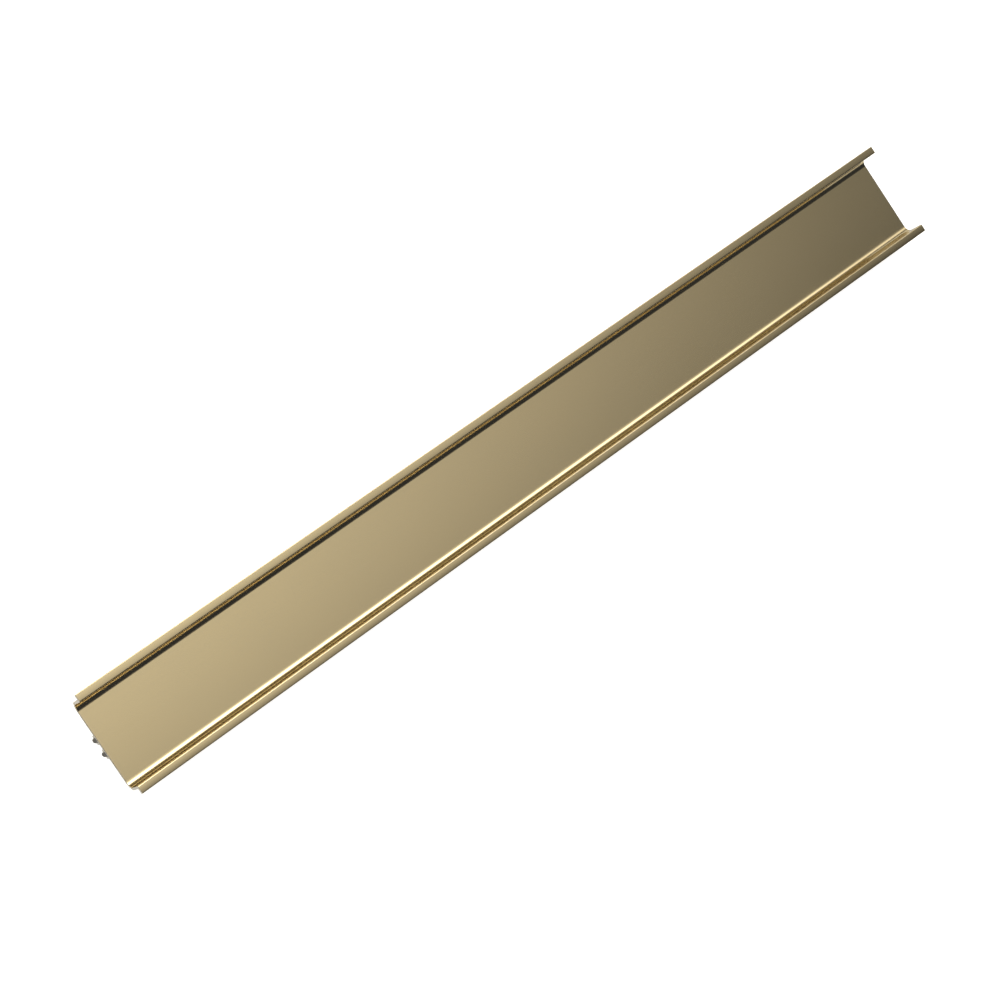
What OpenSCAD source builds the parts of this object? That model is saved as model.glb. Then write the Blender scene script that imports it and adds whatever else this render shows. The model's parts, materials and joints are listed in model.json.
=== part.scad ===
// Door sweep: a U-shaped aluminium channel cups the bottom edge of a door, and
// two soft fins, each keyed into its own groove under the channel floor, wipe
// over the threshold.
//
// X runs along the sweep, Y across the door's thickness and Z up. The origin is
// the middle of the channel floor, the face that the door's edge rests on.
// Front is the -Y side and rear is the +Y side.

/* [Channel] */
// Cut length of the sweep
channel_length = 520; // [200:10:1200]
// Clear width between the legs
door_gap = 45.4; // [30:0.2:60]
// Height of the legs above the channel floor
leg_height = 14; // [8:0.5:30]
// Thickness of the channel floor
floor_thickness = 1.6; // [1.4:0.1:3]
// Thickness of each leg
leg_thickness = 1.4; // [1:0.1:2.5]
// Radius of the inside corner where a leg rises from the floor
corner_radius = 3.6; // [1:0.1:5]

/* [Lip beads] */
// Width of the bead along the top of each leg, from the leg's inner face outwards
lip_width = 4; // [3:0.1:8]
// Height of the bead
lip_height = 2.4; // [2:0.1:3]
// Rounding along the bead's inner top edge
lip_rounding = 0.5; // [0.3:0.1:1]
// Rounding along the two edges of the bead's outer side
lip_edge_rounding = 0.3; // [0.2:0.1:0.9]

/* [Seal grooves] */
// Distance between the middles of the two grooves
groove_pitch = 7.6; // [6:0.1:16]
// Outside width of the rib that holds a groove
rib_width = 5; // [4.4:0.1:5.6]
// Depth of the rib below the channel floor's underside
rib_depth = 2.9; // [2.8:0.1:3.2]
// Bore of the keyhole groove
groove_bore = 3; // [2.8:0.1:3.2]
// Width of the groove's mouth
groove_mouth = 1.6; // [1.4:0.1:2]

/* [Fins] */
// Side play between a seal's round bead and the groove's bore, on the radius
bead_play = 0.1; // [0.05:0.05:0.2]
// Width of the neck that passes through the groove's mouth
neck_width = 1.2; // [0.8:0.1:1.3]
// Width of the shoulder that covers the groove's mouth
shoulder_width = 2.8; // [2.2:0.1:4]
// Thickness of the shoulder
shoulder_height = 0.8; // [0.5:0.1:1.5]
// Width of a fin at its flexing root
fin_root_width = 2.3; // [1.6:0.1:3]
// Width of a fin at its rounded tip
fin_tip_width = 1.6; // [1:0.1:1.6]
// Reach of a fin from its flexing line to its tip
fin_reach = 2.55; // [2:0.05:12]

/* [Hidden] */
$fn = 64;

// How far a cutting shape runs past the face that it cuts
overcut = 1;
// Gap between the rib and the shoulder that closes its mouth
shoulder_gap = 0.05;
// Gap between the shoulder and the round back of the fin
fin_gap = 0.25;
// Steps that each round end of a fin's outline is drawn in
arc_steps = 24;

leg_inner_y = door_gap / 2;
leg_outer_y = leg_inner_y + leg_thickness;
outer_radius = corner_radius + leg_thickness;
groove_y = groove_pitch / 2;

// Heights, all measured from the channel floor's upper face
floor_under_z = -floor_thickness;
lip_under_z = leg_height - lip_height;
rib_under_z = floor_under_z - rib_depth;
groove_z = rib_under_z + groove_bore / 2 + 0.25;
shoulder_top_z = rib_under_z - shoulder_gap;
shoulder_under_z = shoulder_top_z - shoulder_height;
flex_z = shoulder_under_z - fin_gap - fin_root_width / 2;
tip_z = flex_z - fin_reach + fin_tip_width / 2;

channel_colour = [0.72, 0.64, 0.47];
root_colour = [0.16, 0.16, 0.15];
fin_colour = [0.09, 0.09, 0.09];

// Points along an arc, from one angle to another in degrees
function arc(middle, radius, from, to) =
    [for (i = [0:arc_steps]) let (a = from + (to - from) * i / arc_steps) middle + radius * [cos(a), sin(a)]];

// Runs a cross-section, drawn as (Y, Z), along the whole length of the sweep
module along_sweep() {
    rotate([90, 0, 90])
        linear_extrude(height = channel_length, center = true)
            children();
}

// Repeats a shape on the rear side and, mirrored, on the front side
module both_sides() {
    for (flip = [0, 1])
        mirror([flip, 0])
            children();
}

// Rectangle between two opposite corners
module box2d(low, high) {
    translate(low)
        square(high - low);
}

// Floor and one leg, with the round inside and outside corners between them
module floor_and_leg() {
    difference() {
        union() {
            box2d([0, floor_under_z], [leg_outer_y, 0]);
            box2d([leg_inner_y, floor_under_z], [leg_outer_y, leg_height - lip_rounding]);
            inside_corner();
        }
        outside_corner_waste();
    }
}

// Metal that fills the inside corner up to its radius
module inside_corner() {
    translate([leg_inner_y - corner_radius, 0])
        difference() {
            square(corner_radius);
            translate([0, corner_radius])
                circle(corner_radius);
        }
}

// Metal taken away outside the corner's outer radius
module outside_corner_waste() {
    translate([leg_outer_y - outer_radius, floor_under_z])
        difference() {
            translate([0, -overcut])
                square([outer_radius + overcut, outer_radius + overcut]);
            translate([0, outer_radius])
                circle(outer_radius);
            translate([-overcut, 0])
                square([overcut, outer_radius]);
        }
}

// Bead along a leg's top: flush with the leg inside, standing out beyond it outside
module lip_bead() {
    r = lip_rounding;
    edge = lip_edge_rounding;
    translate([leg_inner_y, lip_under_z]) {
        box2d([0, 0], [lip_width - edge, lip_height - r]);
        box2d([r, 0], [lip_width - edge, lip_height]);
        box2d([r, edge], [lip_width, lip_height - edge]);
        translate([r, lip_height - r])
            circle(r);
        for (z = [edge, lip_height - edge])
            translate([lip_width - edge, z])
                circle(edge);
    }
}

// Rib under the floor that a seal's groove is cut into
module groove_rib() {
    box2d([groove_y - rib_width / 2, rib_under_z], [groove_y + rib_width / 2, floor_under_z]);
}

// Keyhole groove: a round bore with a narrower mouth below it
module groove_hollow() {
    translate([groove_y, groove_z])
        circle(d = groove_bore);
    box2d([groove_y - groove_mouth / 2, rib_under_z - overcut], [groove_y + groove_mouth / 2, groove_z]);
}

// The extruded channel: floor, legs, lip beads and grooved ribs in one piece
module channel() {
    color(channel_colour)
        along_sweep()
            both_sides()
                difference() {
                    union() {
                        floor_and_leg();
                        lip_bead();
                        groove_rib();
                    }
                    groove_hollow();
                }
}

// Fixed part of a seal: bead in the bore, neck in the mouth, shoulder below it
module seal_root() {
    color(root_colour)
        along_sweep() {
            translate([groove_y, groove_z])
                circle(d = groove_bore - 2 * bead_play);
            box2d([groove_y - neck_width / 2, shoulder_under_z], [groove_y + neck_width / 2, groove_z]);
            box2d([groove_y - shoulder_width / 2, shoulder_under_z],
                  [groove_y + shoulder_width / 2, shoulder_top_z]);
        }
}

// Flexing part of a seal: a stout blade that turns about its own round back
module seal_fin() {
    root = fin_root_width / 2;
    tip = fin_tip_width / 2;
    taper = asin((root - tip) / (flex_z - tip_z));
    outline = concat(arc([0, flex_z], root, -taper, 180 + taper),
                     arc([0, tip_z], tip, 180 + taper, 360 - taper));
    color(fin_colour)
        along_sweep()
            translate([groove_y, 0])
                polygon(outline);
}

module front_seal_root() {
    mirror([0, 1, 0])
        seal_root();
}

module rear_seal_root() {
    seal_root();
}

module front_seal_fin() {
    mirror([0, 1, 0])
        seal_fin();
}

module rear_seal_fin() {
    seal_fin();
}

channel();
front_seal_root();
rear_seal_root();
front_seal_fin();
rear_seal_fin();
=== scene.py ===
"""A door sweep: an anodised channel for a door's bottom edge, with two soft seals keyed under it."""

import json
import logging
import math
from dataclasses import dataclass, field
from enum import Enum

import bpy
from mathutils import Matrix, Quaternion, Vector
from mathutils.geometry import tessellate_polygon


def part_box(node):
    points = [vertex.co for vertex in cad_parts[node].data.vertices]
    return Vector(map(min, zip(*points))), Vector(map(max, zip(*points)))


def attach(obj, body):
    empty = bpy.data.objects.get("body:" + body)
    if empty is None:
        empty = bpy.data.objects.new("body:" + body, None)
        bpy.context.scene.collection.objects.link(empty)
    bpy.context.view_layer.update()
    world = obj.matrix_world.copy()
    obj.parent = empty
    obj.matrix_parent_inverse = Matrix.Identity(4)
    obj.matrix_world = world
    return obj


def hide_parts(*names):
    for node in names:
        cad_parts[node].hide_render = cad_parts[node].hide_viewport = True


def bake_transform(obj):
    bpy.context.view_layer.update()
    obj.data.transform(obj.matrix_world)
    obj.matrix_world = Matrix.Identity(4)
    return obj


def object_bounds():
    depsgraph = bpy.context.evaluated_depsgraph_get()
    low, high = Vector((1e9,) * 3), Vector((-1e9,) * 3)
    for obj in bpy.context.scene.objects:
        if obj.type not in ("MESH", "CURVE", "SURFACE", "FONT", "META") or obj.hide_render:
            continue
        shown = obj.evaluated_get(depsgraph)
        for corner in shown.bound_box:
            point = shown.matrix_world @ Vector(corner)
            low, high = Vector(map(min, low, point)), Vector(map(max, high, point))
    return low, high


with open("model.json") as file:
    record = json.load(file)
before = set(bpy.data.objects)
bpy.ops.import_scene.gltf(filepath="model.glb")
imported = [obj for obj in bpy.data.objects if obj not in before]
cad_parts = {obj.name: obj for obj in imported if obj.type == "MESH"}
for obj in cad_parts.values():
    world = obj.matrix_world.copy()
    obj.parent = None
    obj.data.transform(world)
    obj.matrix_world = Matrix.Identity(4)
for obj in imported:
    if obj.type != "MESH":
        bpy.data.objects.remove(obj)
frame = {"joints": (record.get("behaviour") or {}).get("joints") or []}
cad_low, cad_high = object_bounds()

MM = 0.001
ARC_STEP = math.radians(7.5)
SUPPORT = 0.08 * MM
SHARP_ANGLE = math.radians(33)

# Socket numbers of a colour mix node, which has a set of sockets for each data type.
MIX_SHARE = 0
MIX_FIRST = 6
MIX_SECOND = 7
MIX_RESULT = 2

log = logging.getLogger("door_sweep")

Colour = tuple[float, float, float]
Socket = bpy.types.NodeSocket
Value = float | tuple[float, ...] | Socket


class Side(Enum):
    """Side of the door that a piece belongs to, as the sign of Y."""

    FRONT = -1
    REAR = 1

    @property
    def label(self) -> str:
        """Name of the side in lower case."""
        return self.name.lower()


class Surface(Enum):
    """Material index of each kind of surface on a cut strip."""

    SKIN = 0
    CUT_END = 1


# ---------------------------------------------------------------- cross-sections


@dataclass(frozen=True)
class Corner:
    """A corner of a cross-section, in metres, with the radius that rounds it and how much it rubs."""

    y: float
    z: float
    radius: float = 0.0
    wear: float = 0.0

    def mirrored(self) -> "Corner":
        """The same corner on the other side of the middle plane."""
        return Corner(-self.y, self.z, self.radius, self.wear)

    def moved(self, y: float, z: float = 0.0) -> "Corner":
        """The same corner, shifted."""
        return Corner(self.y + y, self.z + z, self.radius, self.wear)


def arc_corners(y: float, z: float, radius: float, start: float, end: float) -> list[Corner]:
    """Lists unrounded corners along an arc.

    Args:
        y: centre across the door.
        z: centre height.
        radius: radius of the arc.
        start: first angle in degrees, from +Y towards +Z.
        end: last angle in degrees.

    Returns:
        The corners, both ends included.
    """
    first, last = math.radians(start), math.radians(end)
    steps = max(2, round(abs(last - first) / ARC_STEP))
    angles = [first + (last - first) * i / steps for i in range(steps + 1)]
    return [Corner(y + radius * math.cos(a), z + radius * math.sin(a)) for a in angles]


def rounded(corner: Corner, before: Corner, after: Corner) -> list[Corner]:
    """Replaces one corner by the points of its arc.

    Args:
        corner: the corner to round.
        before: the corner in front of it on the outline.
        after: the corner behind it on the outline.

    Returns:
        The points of the arc, or the corner itself where it has no radius.
    """
    if corner.radius <= 0.0:
        return [corner]
    here = Vector((corner.y, corner.z))
    back = (Vector((before.y, before.z)) - here).normalized()
    ahead = (Vector((after.y, after.z)) - here).normalized()
    half = back.angle(ahead) / 2
    centre = here + (back + ahead).normalized() * (corner.radius / math.sin(half))
    reach = corner.radius / math.tan(half)
    first, last = here + back * reach - centre, here + ahead * reach - centre
    turn = math.pi - 2 * half
    sign = 1.0 if first.x * last.y - first.y * last.x > 0 else -1.0
    steps = max(2, round(turn / ARC_STEP))
    points = []
    for i in range(steps + 1):
        a = sign * turn * i / steps
        spoke = Vector((first.x * math.cos(a) - first.y * math.sin(a),
                        first.x * math.sin(a) + first.y * math.cos(a)))
        points.append(Corner(centre.x + spoke.x, centre.y + spoke.y, 0.0, corner.wear))
    return points


def outline_points(corners: list[Corner], longest: float) -> list[Corner]:
    """Turns a closed list of corners into the points of the outline.

    Flat stretches get a support point close to each end, which keeps their shading flat, and are
    divided where they are longer than the given length.

    Args:
        corners: the corners, clockwise as seen along -X.
        longest: longest stretch between two points.

    Returns:
        The points of the closed outline.
    """
    drawn = []
    for i, corner in enumerate(corners):
        drawn += rounded(corner, corners[i - 1], corners[(i + 1) % len(corners)])
    points = []
    for i, point in enumerate(drawn):
        nxt = drawn[(i + 1) % len(drawn)]
        points.append(point)
        step_y, step_z = nxt.y - point.y, nxt.z - point.z
        gap = math.hypot(step_y, step_z)
        if gap < 4 * SUPPORT:
            continue
        inner = max(1, math.ceil(gap / longest))
        shares = [SUPPORT / gap] + [k / inner for k in range(1, inner)] + [1 - SUPPORT / gap]
        points += [Corner(point.y + step_y * s, point.z + step_z * s) for s in shares]
    return points


def inset(points: list[Corner], distance: float) -> list[Vector]:
    """Moves every point of a clockwise outline into the material.

    Args:
        points: the outline.
        distance: how far each point moves.

    Returns:
        The moved points as (y, z) vectors.
    """
    moved = []
    for i, point in enumerate(points):
        before, after = points[i - 1], points[(i + 1) % len(points)]
        along_in = Vector((point.y - before.y, point.z - before.z)).normalized()
        along_out = Vector((after.y - point.y, after.z - point.z)).normalized()
        along = (along_in + along_out).normalized()
        moved.append(Vector((point.y, point.z)) + Vector((along.y, -along.x)) * distance)
    return moved


@dataclass
class Strip:
    """A straight extruded strip along X, sawn or knifed off square, with its cut edges broken."""

    name: str
    points: list[Corner]
    low_x: float
    high_x: float
    edge_break: float
    ring_step: float = 20 * MM
    end_wear_reach: float = 1.2 * MM

    def rings(self) -> list[tuple[float, float, float]]:
        """Lists the rings of the strip.

        Returns:
            (x, inset, wear) for each ring, from the low end to the high end.
        """
        start = [(self.low_x, self.edge_break, 1.0), (self.low_x + self.edge_break, 0.0, 1.0),
                 (self.low_x + self.end_wear_reach, 0.0, 0.0)]
        end = [(self.low_x + self.high_x - x, inset_by, wear) for x, inset_by, wear in reversed(start)]
        first, last = start[-1][0], end[0][0]
        count = max(1, round((last - first) / self.ring_step))
        middle = [(first + (last - first) * i / count, 0.0, 0.0) for i in range(1, count)]
        return start + middle + end

    def build(self) -> bpy.types.Object:
        """Makes the closed mesh, with its wear attribute and a material index on each cut end.

        Returns:
            The new object, in place in the frame.
        """
        rings, size = self.rings(), len(self.points)
        verts, wear = [], []
        for x, inset_by, ring_wear in rings:
            verts += [(x, p.x, p.y) for p in inset(self.points, inset_by)]
            wear += [max(point.wear, ring_wear) for point in self.points]
        faces = []
        for here in range(0, (len(rings) - 1) * size, size):
            for i in range(size):
                j = (i + 1) % size
                faces.append((here + i, here + j, here + size + j, here + size + i))
        side_count = len(faces)
        flat = [Vector((p.y, p.z, 0.0)) for p in self.points]
        last_ring = (len(rings) - 1) * size
        for a, b, c in tessellate_polygon([flat]):
            turn = (flat[b] - flat[a]).cross(flat[c] - flat[a]).z
            a, b, c = (a, b, c) if turn > 0 else (a, c, b)
            faces += [(a, c, b), (last_ring + a, last_ring + b, last_ring + c)]
        mesh = bpy.data.meshes.new(self.name)
        mesh.from_pydata(verts, [], faces)
        mesh.validate()
        mesh.attributes.new("edge_wear", "FLOAT", "POINT").data.foreach_set("value", wear)
        for polygon in mesh.polygons:
            on_side = polygon.index < side_count
            polygon.use_smooth = on_side
            polygon.material_index = Surface.SKIN.value if on_side else Surface.CUT_END.value
        mesh.set_sharp_from_angle(angle=SHARP_ANGLE)
        piece = bpy.data.objects.new(self.name, mesh)
        bpy.context.scene.collection.objects.link(piece)
        return piece


# ---------------------------------------------------------------- shader helpers


class Wiring:
    """Adds nodes to one shader tree and joins their sockets."""

    def __init__(self, tree: bpy.types.NodeTree) -> None:
        """Starts on an empty tree.

        Args:
            tree: the node tree to fill.
        """
        self.tree = tree
        self.tree.nodes.clear()

    def add(self, kind: str, inputs: dict[str | int, Value] | None = None,
            **settings: object) -> bpy.types.Node:
        """Adds one node.

        Args:
            kind: Blender's name of the node type, without its "ShaderNode" or "Node" prefix.
            inputs: a value or a source socket for each input socket, by name or index.
            **settings: properties of the node itself.

        Returns:
            The node.
        """
        prefix = "Node" if kind.startswith("Group") else "ShaderNode"
        made = self.tree.nodes.new("ShaderNodeGroup" if kind == "Group" else prefix + kind)
        for name, value in settings.items():
            setattr(made, name, value)
        for key, value in (inputs or {}).items():
            self.feed(made.inputs[key], value)
        return made

    def feed(self, target: Socket, value: Value) -> None:
        """Joins a source socket to an input socket, or sets the input to a constant.

        Args:
            target: the input socket.
            value: the source socket or the constant.
        """
        if isinstance(value, Socket):
            self.tree.links.new(value, target)
        else:
            target.default_value = value

    def maths(self, operation: str, first: Value, second: Value = 0.0) -> Socket:
        """Result of a sum of two numbers or sockets, such as "MULTIPLY"."""
        return self.add("Math", {0: first, 1: second}, operation=operation).outputs[0]

    def spread(self, value: Value, low: float, high: float, to_low: float, to_high: float) -> Socket:
        """A value mapped smoothly from one range to another and held inside it."""
        ends = {"Value": value, "From Min": low, "From Max": high, "To Min": to_low, "To Max": to_high}
        return self.add("MapRange", ends, interpolation_type="SMOOTHSTEP").outputs["Result"]

    def mixed(self, share: Value, first: Value, second: Value) -> Socket:
        """Mixes two colours.

        Args:
            share: how far the result is from the first colour to the second, from 0 to 1.
            first: the first colour or its socket.
            second: the second colour or its socket.

        Returns:
            The mixed colour's socket.
        """
        inputs = {MIX_SHARE: share, MIX_FIRST: first, MIX_SECOND: second}
        return self.add("Mix", inputs, data_type="RGBA", clamp_factor=True).outputs[MIX_RESULT]

    def noise(self, vector: Value, scale: Value, detail: float, roughness: float = 0.5) -> Socket:
        """A field of smooth noise from 0 to 1."""
        inputs = {"Vector": vector, "Scale": scale, "Detail": detail, "Roughness": roughness}
        return self.add("TexNoise", inputs).outputs["Fac"]


WHITE = (1.0, 1.0, 1.0, 1.0)


def opaque(colour: Colour) -> tuple[float, float, float, float]:
    """A colour with full alpha."""
    return (*colour, 1.0)


class EffectLibrary:
    """Shader node groups that several finishes share, each built once."""

    def __init__(self) -> None:
        """Builds every group."""
        self.grain = self._die_lines()
        self.mottle = self._mottle()
        self.wear = self._edge_wear()
        self.dust = self._settled_dust()

    @staticmethod
    def _start(name: str, inputs: dict[str, float],
               outputs: list[str]) -> tuple[Wiring, dict[str, Socket], bpy.types.Node]:
        """Starts a group.

        Args:
            name: name of the group.
            inputs: each input's name and its default.
            outputs: names of the outputs.

        Returns:
            Its wiring, its input sockets by name and its output node.
        """
        tree = bpy.data.node_groups.new(name, "ShaderNodeTree")
        for label, default in inputs.items():
            socket = tree.interface.new_socket(label, in_out="INPUT", socket_type="NodeSocketFloat")
            socket.default_value = default
        for label in outputs:
            tree.interface.new_socket(label, in_out="OUTPUT", socket_type="NodeSocketFloat")
        wiring = Wiring(tree)
        entry, leave = wiring.add("GroupInput"), wiring.add("GroupOutput")
        return wiring, {label: entry.outputs[label] for label in inputs}, leave

    def _die_lines(self) -> bpy.types.NodeTree:
        """Fine lines that an extrusion die leaves along X.

        Returns:
            A group with the lines' Height and a broader, fainter Band value.
        """
        w, given, leave = self._start("die_lines", {"Line Spacing": 0.0004, "Streak Length": 0.2},
                                      ["Height", "Band"])
        place = w.add("SeparateXYZ", {0: w.add("TexCoord").outputs["Object"]})
        x = w.maths("DIVIDE", place.outputs["X"], given["Streak Length"])
        y = w.maths("DIVIDE", place.outputs["Y"], given["Line Spacing"])
        z = w.maths("DIVIDE", place.outputs["Z"], given["Line Spacing"])
        stretched = w.add("CombineXYZ", {0: x, 1: y, 2: z}).outputs[0]
        w.tree.links.new(w.noise(stretched, 1.0, 3.0, 0.6), leave.inputs["Height"])
        broad = w.noise(stretched, 0.13, 2.0)
        w.tree.links.new(w.spread(broad, 0.3, 0.7, 0.0, 1.0), leave.inputs["Band"])
        return w.tree

    def _mottle(self) -> bpy.types.NodeTree:
        """Soft uneven patches of a bath or mix.

        Returns:
            A group with the patches' Value, from 0 to 1.
        """
        w, given, leave = self._start("mottle", {"Patch Size": 0.03, "Contrast": 1.0}, ["Value"])
        place = w.add("TexCoord").outputs["Object"]
        scale = w.maths("DIVIDE", 1.0, given["Patch Size"])
        patches = w.spread(w.noise(place, scale, 4.0, 0.55), 0.3, 0.7, -0.5, 0.5)
        w.tree.links.new(w.maths("ADD", w.maths("MULTIPLY", patches, given["Contrast"]), 0.5),
                         leave.inputs["Value"])
        return w.tree

    def _edge_wear(self) -> bpy.types.NodeTree:
        """Rubbing along exposed edges, broken up by noise.

        Returns:
            A group with the wear's Mask, from 0 to 1.
        """
        w, given, leave = self._start("edge_wear", {"Amount": 0.5, "Break Up Size": 0.004}, ["Mask"])
        rubbed = w.add("Attribute", attribute_name="edge_wear").outputs["Fac"]
        scale = w.maths("DIVIDE", 1.0, given["Break Up Size"])
        patchy = w.noise(w.add("TexCoord").outputs["Object"], scale, 5.0, 0.65)
        broken = w.spread(patchy, 0.38, 0.68, 0.15, 1.0)
        mask = w.maths("MULTIPLY", w.maths("MULTIPLY", rubbed, broken), given["Amount"])
        w.tree.links.new(mask, leave.inputs["Mask"])
        return w.tree

    def _settled_dust(self) -> bpy.types.NodeTree:
        """Fine dust that settles on faces that look up.

        Returns:
            A group with the dust's Mask, from 0 to 1.
        """
        w, given, leave = self._start("settled_dust", {"Amount": 0.1, "Speck Size": 0.0012}, ["Mask"])
        facing = w.add("SeparateXYZ", {0: w.add("NewGeometry").outputs["Normal"]}).outputs["Z"]
        place = w.add("TexCoord").outputs["Object"]
        scale = w.maths("DIVIDE", 1.0, given["Speck Size"])
        specks = w.spread(w.noise(place, scale, 3.0, 0.6), 0.52, 0.72, 0.0, 1.0)
        drift = w.spread(w.noise(place, 14.0, 3.0), 0.35, 0.75, 0.2, 1.0)
        up = w.spread(facing, 0.2, 1.0, 0.0, 1.0)
        lying = w.maths("MULTIPLY", up, given["Amount"])
        mask = w.maths("MULTIPLY", w.maths("MULTIPLY", specks, drift), lying)
        w.tree.links.new(mask, leave.inputs["Mask"])
        return w.tree


def new_material(name: str) -> tuple[bpy.types.Material, Wiring]:
    """Makes an empty node material.

    Args:
        name: name of the material.

    Returns:
        The material and the wiring for it.
    """
    material = bpy.data.materials.new(name)
    material.use_nodes = True
    return material, Wiring(material.node_tree)


# ---------------------------------------------------------------- finishes


@dataclass(frozen=True)
class AnodisedFinish:
    """Satin champagne anodising over extruded aluminium."""

    name: str = "champagne_anodised"
    colour: Colour = (0.81, 0.683, 0.425)
    deep_colour: Colour = (0.785, 0.657, 0.402)
    worn_colour: Colour = (0.86, 0.77, 0.58)
    dust_colour: Colour = (0.62, 0.60, 0.55)
    roughness: float = 0.15
    roughness_swing: float = 0.012
    line_spacing: float = 0.35 * MM
    streak_length: float = 0.35
    line_depth: float = 0.0012 * MM
    patch_size: float = 45 * MM
    edge_wear: float = 0.55
    dust: float = 0.10
    clear_coat: float = 0.25
    clear_coat_roughness: float = 0.18
    clear_coat_ior: float = 1.6

    def material(self, effects: EffectLibrary) -> bpy.types.Material:
        """Builds the material.

        Args:
            effects: the shared node groups.

        Returns:
            The material.
        """
        material, w = new_material(self.name)
        lines = {"Line Spacing": self.line_spacing, "Streak Length": self.streak_length}
        grain = w.add("Group", lines, node_tree=effects.grain)
        patches = w.add("Group", {"Patch Size": self.patch_size}, node_tree=effects.mottle)
        wear = w.add("Group", {"Amount": self.edge_wear}, node_tree=effects.wear)
        dust = w.add("Group", {"Amount": self.dust}, node_tree=effects.dust)
        tone = w.maths("ADD", w.maths("MULTIPLY", patches.outputs["Value"], 0.6),
                       w.maths("MULTIPLY", grain.outputs["Band"], 0.4))
        bath = w.mixed(tone, opaque(self.deep_colour), opaque(self.colour))
        rubbed = w.mixed(wear.outputs["Mask"], bath, opaque(self.worn_colour))
        colour = w.mixed(dust.outputs["Mask"], rubbed, opaque(self.dust_colour))
        low, high = self.roughness - self.roughness_swing, self.roughness + self.roughness_swing
        base_roughness = w.spread(w.maths("ADD", w.maths("MULTIPLY", tone, 0.7),
                                          w.maths("MULTIPLY", grain.outputs["Height"], 0.3)),
                                  0.25, 0.75, low, high)
        roughness = w.maths("ADD", base_roughness, w.maths("MULTIPLY", dust.outputs["Mask"], 0.3))
        relief = {"Height": grain.outputs["Height"], "Strength": 1.0, "Distance": self.line_depth}
        shader = w.add("BsdfPrincipled", {
            "Base Color": colour,
            "Roughness": roughness,
            "Metallic": 1.0,
            "Normal": w.add("Bump", relief).outputs["Normal"],
            "Coat Weight": self.clear_coat,
            "Coat Roughness": self.clear_coat_roughness,
            "Coat IOR": self.clear_coat_ior,
        })
        w.add("OutputMaterial", {"Surface": shader.outputs["BSDF"]})
        return material


@dataclass(frozen=True)
class SawnFinish:
    """Bare aluminium where the anodised length was sawn to size."""

    name: str = "sawn_aluminium"
    colour: Colour = (0.90, 0.89, 0.87)
    dull_colour: Colour = (0.74, 0.73, 0.71)
    roughness: float = 0.38
    roughness_swing: float = 0.08
    patch_size: float = 4 * MM
    tooth_marks: float = 2600.0
    mark_depth: float = 0.012 * MM

    def material(self, effects: EffectLibrary) -> bpy.types.Material:
        """Builds the material.

        Args:
            effects: the shared node groups.

        Returns:
            The material.
        """
        material, w = new_material(self.name)
        patches = w.add("Group", {"Patch Size": self.patch_size}, node_tree=effects.mottle)
        marks = w.add("TexWave", {
            "Vector": w.add("TexCoord").outputs["Object"],
            "Scale": self.tooth_marks / math.tau,
            "Distortion": 1.2,
            "Detail": 3.0,
            "Detail Scale": 1.6,
        }, wave_type="BANDS", bands_direction="DIAGONAL").outputs["Fac"]
        tone = w.maths("ADD", w.maths("MULTIPLY", patches.outputs["Value"], 0.6),
                       w.maths("MULTIPLY", marks, 0.4))
        colour = w.mixed(tone, opaque(self.dull_colour), opaque(self.colour))
        dull, bright = self.roughness + self.roughness_swing, self.roughness - self.roughness_swing
        relief = {"Height": marks, "Strength": 1.0, "Distance": self.mark_depth}
        shader = w.add("BsdfPrincipled", {
            "Base Color": colour,
            "Roughness": w.spread(tone, 0.0, 1.0, dull, bright),
            "Metallic": 1.0,
            "Normal": w.add("Bump", relief).outputs["Normal"],
        })
        w.add("OutputMaterial", {"Surface": shader.outputs["BSDF"]})
        return material


@dataclass(frozen=True)
class VinylFinish:
    """Matt black soft vinyl, a little greyed where it rubs."""

    name: str = "black_vinyl"
    colour: Colour = (0.016, 0.016, 0.017)
    bloom_colour: Colour = (0.034, 0.034, 0.035)
    worn_colour: Colour = (0.075, 0.073, 0.070)
    dust_colour: Colour = (0.30, 0.28, 0.25)
    roughness_low: float = 0.45
    roughness_high: float = 0.61
    line_spacing: float = 0.22 * MM
    streak_length: float = 0.06
    line_depth: float = 0.02 * MM
    patch_size: float = 12 * MM
    edge_wear: float = 0.5
    wear_size: float = 2 * MM
    dust: float = 0.25
    pores_per_metre: float = 5200.0
    pore_share: float = 0.35

    def material(self, effects: EffectLibrary) -> bpy.types.Material:
        """Builds the material.

        Args:
            effects: the shared node groups.

        Returns:
            The material.
        """
        material, w = new_material(self.name)
        lines = {"Line Spacing": self.line_spacing, "Streak Length": self.streak_length}
        grain = w.add("Group", lines, node_tree=effects.grain)
        patches = w.add("Group", {"Patch Size": self.patch_size}, node_tree=effects.mottle)
        rubs = {"Amount": self.edge_wear, "Break Up Size": self.wear_size}
        wear = w.add("Group", rubs, node_tree=effects.wear)
        dust = w.add("Group", {"Amount": self.dust}, node_tree=effects.dust)
        bloom = w.mixed(patches.outputs["Value"], opaque(self.colour), opaque(self.bloom_colour))
        rubbed = w.mixed(wear.outputs["Mask"], bloom, opaque(self.worn_colour))
        colour = w.mixed(dust.outputs["Mask"], rubbed, opaque(self.dust_colour))
        roughness = w.spread(patches.outputs["Value"], 0.0, 1.0, self.roughness_low, self.roughness_high)
        pores = w.noise(w.add("TexCoord").outputs["Object"], self.pores_per_metre, 2.0)
        height = w.maths("ADD", grain.outputs["Height"], w.maths("MULTIPLY", pores, self.pore_share))
        relief = {"Height": height, "Strength": 1.0, "Distance": self.line_depth}
        shader = w.add("BsdfPrincipled", {
            "Base Color": colour,
            "Roughness": roughness,
            "Normal": w.add("Bump", relief).outputs["Normal"],
            "Specular IOR Level": 0.42,
            "Sheen Weight": 0.08,
            "Sheen Roughness": 0.5,
        })
        w.add("OutputMaterial", {"Surface": shader.outputs["BSDF"]})
        return material


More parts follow.
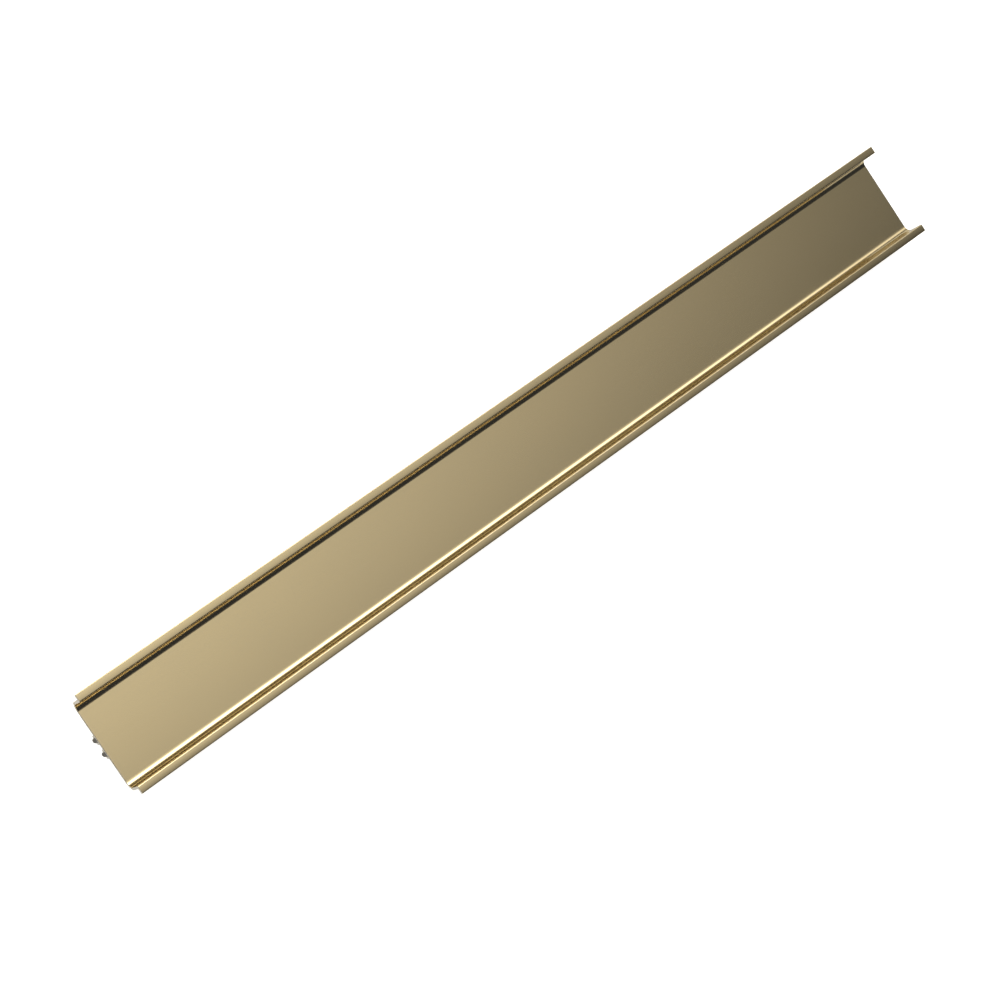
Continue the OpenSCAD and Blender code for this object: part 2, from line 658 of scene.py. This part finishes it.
@dataclass(frozen=True)
class FloorFinish:
    """Pale matt studio floor, washed out to white, and clear from below to leave the underside in view."""

    name: str = "pale_floor"
    colour: Colour = (0.62, 0.62, 0.61)
    roughness: float = 0.9
    wash: float = 0.88

    def material(self) -> bpy.types.Material:
        """Builds the material.

        Returns:
            The material.
        """
        material, w = new_material(self.name)
        seen = w.maths("MULTIPLY", w.add("LightPath").outputs["Is Camera Ray"], self.wash)
        matt = w.add("BsdfPrincipled", {
            "Base Color": opaque(self.colour),
            "Roughness": self.roughness,
            "Specular IOR Level": 0.1,
            "Emission Color": WHITE,
            "Emission Strength": seen,
        })
        clear = w.add("BsdfTransparent")
        below = w.add("NewGeometry").outputs["Backfacing"]
        both = w.add("MixShader", {0: below, 1: matt.outputs[0], 2: clear.outputs[0]})
        w.add("OutputMaterial", {"Surface": both.outputs[0]})
        return material


# ---------------------------------------------------------------- the sweep


@dataclass
class Seal:
    """One soft seal: a bead in the groove, a neck, a shoulder under the mouth and the wiping fin."""

    side: Side
    bead_radius: float = 1.4 * MM
    neck_half: float = 0.6 * MM
    shoulder_half: float = 1.4 * MM
    shoulder_height: float = 0.8 * MM
    waist_half: float = 0.92 * MM
    waist_height: float = 0.45 * MM
    fin_half: float = 1.15 * MM
    fin_shoulder_rise: float = 0.35 * MM
    tip_half: float = 0.8 * MM
    neck_rounding: float = 0.15 * MM
    shoulder_rounding: float = 0.2 * MM
    shoulder_under_rounding: float = 0.3 * MM
    waist_rounding: float = 0.2 * MM
    waist_under_rounding: float = 0.5 * MM
    fin_shoulder_rounding: float = 0.8 * MM
    shoulder_wear: float = 0.3
    shoulder_under_wear: float = 0.5
    tip_wear: float = 0.9
    bend_start_drop: float = 0.05 * MM
    bend_end_drop: float = 0.9 * MM
    edge_break: float = 0.06 * MM
    longest: float = 0.16 * MM
    root_low: Vector = field(init=False)
    root_high: Vector = field(init=False)
    tip_under: float = field(init=False)
    flex_z: float = field(init=False)

    def __post_init__(self) -> None:
        """Reads the seal's place from the frame."""
        self.root_low, self.root_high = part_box(f"{self.side.label}_seal_root")
        self.tip_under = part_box(f"{self.side.label}_seal_fin")[0].z
        joint = next(j for j in frame["joints"] if j["child"] == f"{self.side.label}_fin")
        self.flex_z = joint["pos_m"][2]

    @property
    def middle_y(self) -> float:
        """Middle of the seal across the door."""
        return (self.root_low.y + self.root_high.y) / 2

    @property
    def bead_z(self) -> float:
        """Height of the bead's centre."""
        return self.root_high.z - self.bead_radius

    def right_half(self) -> list[Corner]:
        """Lists the corners of the +Y half of the section.

        Returns:
            The corners from the bead's top down to the fin's tip, about the seal's middle.
        """
        bead_z, shoulder_under = self.bead_z, self.root_low.z
        shoulder_top = shoulder_under + self.shoulder_height
        dip = math.degrees(math.asin(self.neck_half / self.bead_radius))
        tip_z = self.tip_under + self.tip_half
        taper = math.degrees(math.asin((self.fin_half - self.tip_half) / (self.flex_z - tip_z)))
        bead = arc_corners(0.0, bead_z, self.bead_radius, 90, dip - 90)
        collar = [
            Corner(self.neck_half, shoulder_top, self.neck_rounding),
            Corner(self.shoulder_half, shoulder_top, self.shoulder_rounding, self.shoulder_wear),
            Corner(self.shoulder_half, shoulder_under,
                   self.shoulder_under_rounding, self.shoulder_under_wear),
            Corner(self.waist_half, shoulder_under, self.waist_rounding),
            Corner(self.waist_half, shoulder_under - self.waist_height, self.waist_under_rounding),
            Corner(self.fin_half, self.flex_z + self.fin_shoulder_rise, self.fin_shoulder_rounding),
        ]
        flank = Corner(self.fin_half * math.cos(math.radians(taper)),
                       self.flex_z - self.fin_half * math.sin(math.radians(taper)))
        tip_arc = arc_corners(0.0, tip_z, self.tip_half, -taper, -90)
        tip = [Corner(c.y, c.z, 0.0, self.tip_wear) for c in tip_arc]
        return bead + collar + [flank] + tip

    def build(self) -> bpy.types.Object:
        """Makes the seal in one piece.

        Returns:
            The seal.
        """
        half = self.right_half()
        corners = half + [c.mirrored() for c in reversed(half[1:-1])]
        placed = [c.moved(self.middle_y) for c in corners]
        strip = Strip(f"{self.side.label}_seal", outline_points(placed, self.longest),
                      self.root_low.x, self.root_high.x, self.edge_break)
        piece = strip.build()
        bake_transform(piece)
        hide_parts(f"{self.side.label}_seal_root", f"{self.side.label}_seal_fin")
        return piece

    def dress(self, piece: bpy.types.Object, vinyl: bpy.types.Material) -> None:
        """Gives the seal its finish, on its skin and on its cut ends.

        Args:
            piece: the seal.
            vinyl: the vinyl material.
        """
        piece.data.materials.append(vinyl)
        piece.data.materials.append(vinyl)


@dataclass
class Channel:
    """The extruded channel: floor, legs, lip beads and the two grooved ribs under the floor."""

    floor_thickness: float = 1.6 * MM
    leg_thickness: float = 1.4 * MM
    corner_radius: float = 3.6 * MM
    lip_width: float = 4.0 * MM
    lip_height: float = 2.4 * MM
    lip_rounding: float = 0.5 * MM
    lip_edge: float = 0.3 * MM
    lip_crown: float = 60.0 * MM
    rib_width: float = 5.0 * MM
    groove_radius: float = 1.5 * MM
    groove_mouth: float = 1.6 * MM
    leg_fillet: float = 0.35 * MM
    rib_fillet: float = 0.4 * MM
    mouth_rounding: float = 0.2 * MM
    lip_wear: float = 1.0
    lip_under_wear: float = 0.8
    corner_wear: float = 0.25
    rib_wear: float = 0.6
    mouth_wear: float = 0.3
    edge_break: float = 0.12 * MM
    longest: float = 6.0 * MM
    low: Vector = field(init=False)
    high: Vector = field(init=False)

    def __post_init__(self) -> None:
        """Reads the channel's box from the frame."""
        self.low, self.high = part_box("channel")

    def crown(self, low_y: float, high_y: float) -> list[Corner]:
        """Lists the corners along the crowned top of a lip bead.

        Args:
            low_y: where the crown starts across the door.
            high_y: where it ends.

        Returns:
            The corners, both ends included.
        """
        middle, steps = (low_y + high_y) / 2, math.ceil((high_y - low_y) / (3 * SUPPORT))
        across = [low_y + (high_y - low_y) * i / steps for i in range(steps + 1)]
        drop = [self.lip_crown - math.sqrt(self.lip_crown ** 2 - (y - middle) ** 2) for y in across]
        return [Corner(y, self.high.z - d) for y, d in zip(across, drop)]

    def right_half(self, groove_y: float, groove_z: float) -> list[Corner]:
        """Lists the corners of the +Y half of the section.

        Args:
            groove_y: middle of the groove across the door.
            groove_z: height of the groove bore's centre.

        Returns:
            The corners from the middle of the floor's upper face round to the middle of its underside.
        """
        lip_y, leg_in = self.high.y, self.high.y - self.lip_width
        leg_out, lip_under = leg_in + self.leg_thickness, self.high.z - self.lip_height
        under, rib_under = -self.floor_thickness, self.low.z
        mouth, rib = self.groove_mouth / 2, self.rib_width / 2
        dip = math.degrees(math.asin(mouth / self.groove_radius))
        inside = [Corner(0.0, 0.0), Corner(leg_in, 0.0, self.corner_radius)]
        crown = self.crown(leg_in, lip_y)
        kept = [c for c in crown if leg_in + self.lip_rounding < c.y < lip_y - self.lip_edge]
        lip = [
            Corner(leg_in, crown[0].z, self.lip_rounding, self.lip_wear),
            *kept,
            Corner(lip_y, crown[-1].z, self.lip_edge, self.lip_wear),
            Corner(lip_y, lip_under, self.lip_edge, self.lip_under_wear),
            Corner(leg_out, lip_under, self.leg_fillet),
        ]
        outside = [
            Corner(leg_out, under, self.corner_radius + self.leg_thickness, self.corner_wear),
            Corner(groove_y + rib, under, self.rib_fillet),
            Corner(groove_y + rib, rib_under, self.rib_fillet, self.rib_wear),
            Corner(groove_y + mouth, rib_under, self.mouth_rounding, self.mouth_wear),
        ]
        bore = arc_corners(groove_y, groove_z, self.groove_radius, dip - 90, 270 - dip)
        inner = [
            Corner(groove_y - mouth, rib_under, self.mouth_rounding, self.mouth_wear),
            Corner(groove_y - rib, rib_under, self.rib_fillet, self.rib_wear),
            Corner(groove_y - rib, under, self.rib_fillet),
            Corner(0.0, under),
        ]
        return inside + lip + outside + bore + inner

    def build(self, rear_seal: Seal) -> bpy.types.Object:
        """Makes the channel in one piece.

        Args:
            rear_seal: the seal whose groove the +Y half is drawn round.

        Returns:
            The channel.
        """
        half = self.right_half(rear_seal.middle_y, rear_seal.bead_z)
        corners = half + [c.mirrored() for c in reversed(half[1:-1])]
        strip = Strip("channel_extrusion", outline_points(corners, self.longest),
                      self.low.x, self.high.x, self.edge_break)
        piece = strip.build()
        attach(piece, "channel")
        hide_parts("channel")
        return piece

    def dress(self, piece: bpy.types.Object, skin: bpy.types.Material,
              cut_end: bpy.types.Material) -> None:
        """Gives the channel its finishes.

        Args:
            piece: the channel.
            skin: finish of the extruded surface.
            cut_end: finish of the sawn ends.
        """
        piece.data.materials.append(skin)
        piece.data.materials.append(cut_end)


# ---------------------------------------------------------------- the studio


def direction(azimuth: float, elevation: float) -> Vector:
    """Unit vector from the sweep towards a lamp or camera.

    Args:
        azimuth: degrees about Z; 0 stands on the front side, 90 at the +X end.
        elevation: degrees above the floor.

    Returns:
        The vector.
    """
    a, e = math.radians(azimuth), math.radians(elevation)
    return Vector((math.sin(a) * math.cos(e), -math.cos(a) * math.cos(e), math.sin(e)))


@dataclass(frozen=True)
class Camera:
    """A long lens above and beyond the low end, rolled so that the sweep crosses the frame."""

    azimuth: float = -99.31
    elevation: float = 65.57
    roll: float = 64.78
    distance: float = 1.1698
    lens: float = 85.89
    sensor: float = 36.0
    aim: tuple[float, float, float] = (-0.0289, -0.0133, 0.0)

    def place(self) -> bpy.types.Object:
        """Makes the camera and gives it to the scene.

        Returns:
            The camera.
        """
        data = bpy.data.cameras.new("camera")
        data.lens, data.sensor_width = self.lens, self.sensor
        made = bpy.data.objects.new("camera", data)
        bpy.context.scene.collection.objects.link(made)
        back = direction(self.azimuth, self.elevation)
        made.location = Vector(self.aim) + back * self.distance
        level = back.to_track_quat("Z", "Y")
        made.rotation_euler = (Quaternion(back, math.radians(self.roll)) @ level).to_euler()
        bpy.context.scene.camera = made
        return made


@dataclass(frozen=True)
class SkyPatch:
    """A soft-edged bright patch of the sky, like a long softbox that hangs lengthwise over the sweep.

    Each range lists where the patch starts to fade in, is full, starts to fade out and is gone. The
    range along is in sines of the angle towards +X, the range across in tangents of the angle that
    the patch hangs to the rear of straight overhead.
    """

    level: float
    along: tuple[float, float, float, float]
    across: tuple[float, float, float, float]

    def strength(self, w: Wiring, x: Value, y: Value) -> Socket:
        """Brightness of the patch in one direction.

        Args:
            w: wiring of the sky.
            x: sine of the direction's angle towards +X.
            y: tangent of its angle to the rear of straight overhead.

        Returns:
            The brightness.
        """
        share = None
        for value, (fade_in, full, fade_out, gone) in ((x, self.along), (y, self.across)):
            rise = w.spread(value, fade_in, full, 0.0, 1.0)
            fall = w.spread(value, fade_out, gone, 1.0, 0.0)
            both = w.maths("MULTIPLY", rise, fall)
            share = both if share is None else w.maths("MULTIPLY", share, both)
        return w.maths("MULTIPLY", share, self.level)


@dataclass
class Studio:
    """Pale floor, a soft studio sky and the camera."""

    floor_size: float = 14.0
    floor_gap: float = 0.05 * MM
    lit_tint: Colour = (1.0, 0.945, 0.835)
    shade_tint: Colour = (0.88, 0.96, 1.15)
    shade_level: float = 0.035
    horizon_level: float = 0.5
    horizon_full: float = 0.12
    horizon_gone: float = 0.30
    lowest_up: float = 0.05
    patches: tuple[SkyPatch, ...] = (
        # Broad soft light overhead.
        SkyPatch(level=0.81, along=(-0.95, -0.80, 0.21, 0.77), across=(-0.20, -0.01, 1.0, 2.2)),
        # Key light, hung towards the rear.
        SkyPatch(level=2.8, along=(-0.95, -0.80, 0.21, 0.77), across=(0.18, 0.60, 1.3, 2.2)),
        # Faint fill from the low end, which the inner faces of the legs mirror.
        SkyPatch(level=0.42, along=(-1.0, -0.90, -0.25, 0.05), across=(-9.0, -5.0, 5.0, 9.0)),
    )

    def floor(self) -> bpy.types.Object:
        """Makes the floor, just under the fins.

        Returns:
            The floor.
        """
        half, z = self.floor_size / 2, cad_low.z - self.floor_gap
        mesh = bpy.data.meshes.new("floor")
        mesh.from_pydata([(-half, -half, z), (half, -half, z), (half, half, z), (-half, half, z)], [],
                         [(0, 1, 2, 3)])
        mesh.materials.append(FloorFinish().material())
        made = bpy.data.objects.new("floor", mesh)
        bpy.context.scene.collection.objects.link(made)
        return made

    def sky(self) -> None:
        """Makes the sky: soft patches for light and reflections, white behind everything."""
        world = bpy.data.worlds.new("studio_sky")
        world.use_nodes = True
        bpy.context.scene.world = world
        w = Wiring(world.node_tree)
        way = w.add("SeparateXYZ", {0: w.add("TexCoord").outputs["Generated"]})
        up = w.maths("MAXIMUM", way.outputs["Z"], self.lowest_up)
        y = w.maths("DIVIDE", way.outputs["Y"], up)
        dim = w.add("Background", {"Color": opaque(self.shade_tint), "Strength": self.shade_level})
        level = w.spread(way.outputs["Z"], self.horizon_full, self.horizon_gone, self.horizon_level, 0.0)
        for patch in self.patches:
            level = w.maths("ADD", level, patch.strength(w, way.outputs["X"], y))
        lit = w.add("Background", {"Color": opaque(self.lit_tint), "Strength": level})
        soft = w.add("AddShader", {0: dim.outputs[0], 1: lit.outputs[0]})
        white = w.add("Background", {"Color": WHITE, "Strength": 1.0})
        seen = w.add("LightPath").outputs["Is Camera Ray"]
        both = w.add("MixShader", {0: seen, 1: soft.outputs[0], 2: white.outputs[0]})
        w.add("OutputWorld", {"Surface": both.outputs[0]})

    def build(self) -> None:
        """Sets up the whole studio."""
        bpy.context.scene.view_settings.view_transform = "Standard"
        self.floor()
        self.sky()
        Camera().place()


def main() -> None:
    """Builds the sweep and its studio, in order, and reports each piece."""
    logging.basicConfig(level=logging.INFO, format="%(name)s: %(message)s")
    effects = EffectLibrary()
    vinyl = VinylFinish().material(effects)
    seals = {side: Seal(side) for side in Side}
    for seal in seals.values():
        piece = seal.build()
        seal.dress(piece, vinyl)
        log.info("%s: %d vertices", piece.name, len(piece.data.vertices))
    channel = Channel()
    piece = channel.build(seals[Side.REAR])
    channel.dress(piece, AnodisedFinish().material(effects), SawnFinish().material(effects))
    log.info("%s: %d vertices", piece.name, len(piece.data.vertices))
    Studio().build()
    log.info("studio: floor, sky and camera")


if __name__ == "__main__":
    main()
